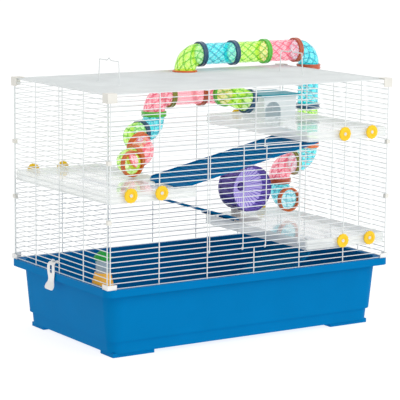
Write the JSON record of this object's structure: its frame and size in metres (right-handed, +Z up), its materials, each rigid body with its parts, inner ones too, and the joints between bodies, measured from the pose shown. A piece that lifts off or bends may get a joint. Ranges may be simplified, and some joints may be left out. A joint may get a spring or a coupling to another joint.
{
  "type": "hamster cage",
  "caption": "Large three-storey wire hamster cage on a blue tray, with drop-down door, clear shelves, ramps, nest box, wheel, feeder and a coloured play tunnel that loops outside.",
  "frame": {"origin": "middle of the tray's underside, on the floor", "axes": "+X along the tray towards the side the tunnel leaves, +Y to the back, +Z up; the door faces -Y"},
  "size_m": [0.8781, 0.4627, 0.6765],
  "materials": {
    "tray_blue": "glossy",
    "wire_white": "satin",
    "fitting_cream": "satin",
    "shelf_clear": "glossy",
    "knob_yellow": "glossy",
    "stud_white": "satin",
    "ramp_blue": "satin",
    "house_white": "glossy",
    "roof_teal": "glossy",
    "wheel_violet": "glossy",
    "feeder_amber": "glossy",
    "hopper_clear": "glossy",
    "cap_green": "glossy",
    "tube_cyan": "glossy",
    "tube_lime": "glossy",
    "tube_pink": "glossy",
    "collar_orange": "glossy",
    "collar_navy": "glossy",
    "collar_green": "glossy",
    "collar_brown": "glossy",
    "collar_olive": "glossy"
  },
  "bodies": {
    "tray": {"base_tray": "tray_blue", "feeder_base": "feeder_amber"},
    "cage": {"front_panel": "wire_white", "back_panel": "wire_white", "left_panel": "wire_white", "right_panel": "wire_white", "roof_panel": "wire_white", "top_corner_connectors": "fitting_cream", "bottom_corner_pieces": "fitting_cream", "panel_edge_clips": "fitting_cream", "ramp_hooks": "wire_white", "house_body": "house_white", "wheel_axle": "wheel_violet", "wheel_stand": "wheel_violet", "tunnel_roof_elbow": "tube_lime", "tunnel_top_straight_1": "tube_cyan", "tunnel_top_straight_2": "tube_lime", "tunnel_top_straight_3": "tube_pink", "tunnel_drop_elbow": "tube_cyan", "tunnel_drop_straight_1": "tube_cyan", "tunnel_drop_straight_2": "tube_lime", "tunnel_return_elbow": "tube_cyan", "tunnel_wall_elbow": "tube_pink", "tunnel_lower_mouth": "tube_cyan", "tunnel_tee": "tube_pink", "tunnel_arm_elbow": "tube_pink", "tunnel_upper_mouth": "tube_lime", "tunnel_descent_elbow": "tube_pink", "tunnel_winding_elbow_1": "tube_cyan", "tunnel_winding_elbow_2": "tube_lime", "tunnel_winding_elbow_3": "tube_pink", "tunnel_middle_mouth": "tube_lime", "orange_collars": "collar_orange", "navy_collars": "collar_navy", "green_collars": "collar_green", "brown_collars": "collar_brown", "olive_collars": "collar_olive", "upper_shelf": "shelf_clear", "upper_shelf_knobs": "knob_yellow", "upper_shelf_studs": "stud_white", "upper_ramp": "ramp_blue", "middle_shelf": "shelf_clear", "middle_shelf_knobs": "knob_yellow", "middle_shelf_studs": "stud_white", "middle_ramp": "ramp_blue", "lower_shelf": "shelf_clear", "lower_shelf_knobs": "knob_yellow", "lower_shelf_studs": "stud_white", "lower_ramp": "ramp_blue"},
    "door": {"front_door": "wire_white"},
    "latch": {"door_latch": "wire_white"},
    "left_clip": {"left_base_clip": "fitting_cream"},
    "right_clip": {"right_base_clip": "fitting_cream"},
    "left_handle": {"left_carry_handle": "wire_white"},
    "right_handle": {"right_carry_handle": "wire_white"},
    "wheel": {"wheel_drum": "wheel_violet"},
    "roof_lid": {"house_roof": "roof_teal"},
    "hopper": {"feeder_hopper": "hopper_clear"},
    "cap": {"feeder_cap": "cap_green"}
  },
  "joints": [
    {"name": "cage_lift", "type": "slide", "parent": "tray", "child": "cage", "axis": [0, 0, 1], "range_m": [0, 0.22]},
    {"name": "door_hinge", "type": "hinge", "parent": "cage", "child": "door", "pos_m": [0, -0.223, 0.227], "axis": [1, 0, 0], "range_deg": [0, 150]},
    {"name": "latch_hinge", "type": "hinge", "parent": "door", "child": "latch", "pos_m": [0.025, -0.2276, 0.4654], "axis": [1, 0, 0], "range_deg": [0, 100]},
    {"name": "left_clip_hinge", "type": "hinge", "parent": "cage", "child": "left_clip", "pos_m": [-0.392, 0.022, 0.1907], "axis": [0, 1, 0], "range_deg": [0, 70]},
    {"name": "right_clip_hinge", "type": "hinge", "parent": "cage", "child": "right_clip", "pos_m": [0.392, 0.022, 0.1907], "axis": [0, -1, 0], "range_deg": [0, 70]},
    {"name": "left_handle_hinge", "type": "hinge", "parent": "cage", "child": "left_handle", "pos_m": [-0.2607, 0, 0.6003], "axis": [0, 1, 0], "range_deg": [-80, 80]},
    {"name": "right_handle_hinge", "type": "hinge", "parent": "cage", "child": "right_handle", "pos_m": [0.2607, 0, 0.6003], "axis": [0, 1, 0], "range_deg": [-80, 80]},
    {"name": "wheel_spin", "type": "hinge", "parent": "cage", "child": "wheel", "pos_m": [0.209, 0.12, 0.306], "axis": [0, 1, 0], "continuous": true},
    {"name": "house_roof_lift", "type": "slide", "parent": "cage", "child": "roof_lid", "axis": [0, 0, 1], "range_m": [0, 0.045]},
    {"name": "hopper_lift", "type": "slide", "parent": "tray", "child": "hopper", "axis": [0, 0, 1], "range_m": [0, 0.06]},
    {"name": "cap_turn", "type": "hinge", "parent": "hopper", "child": "cap", "pos_m": [-0.3285, -0.088, 0.212], "axis": [0, 0, 1], "continuous": true}
  ]
}
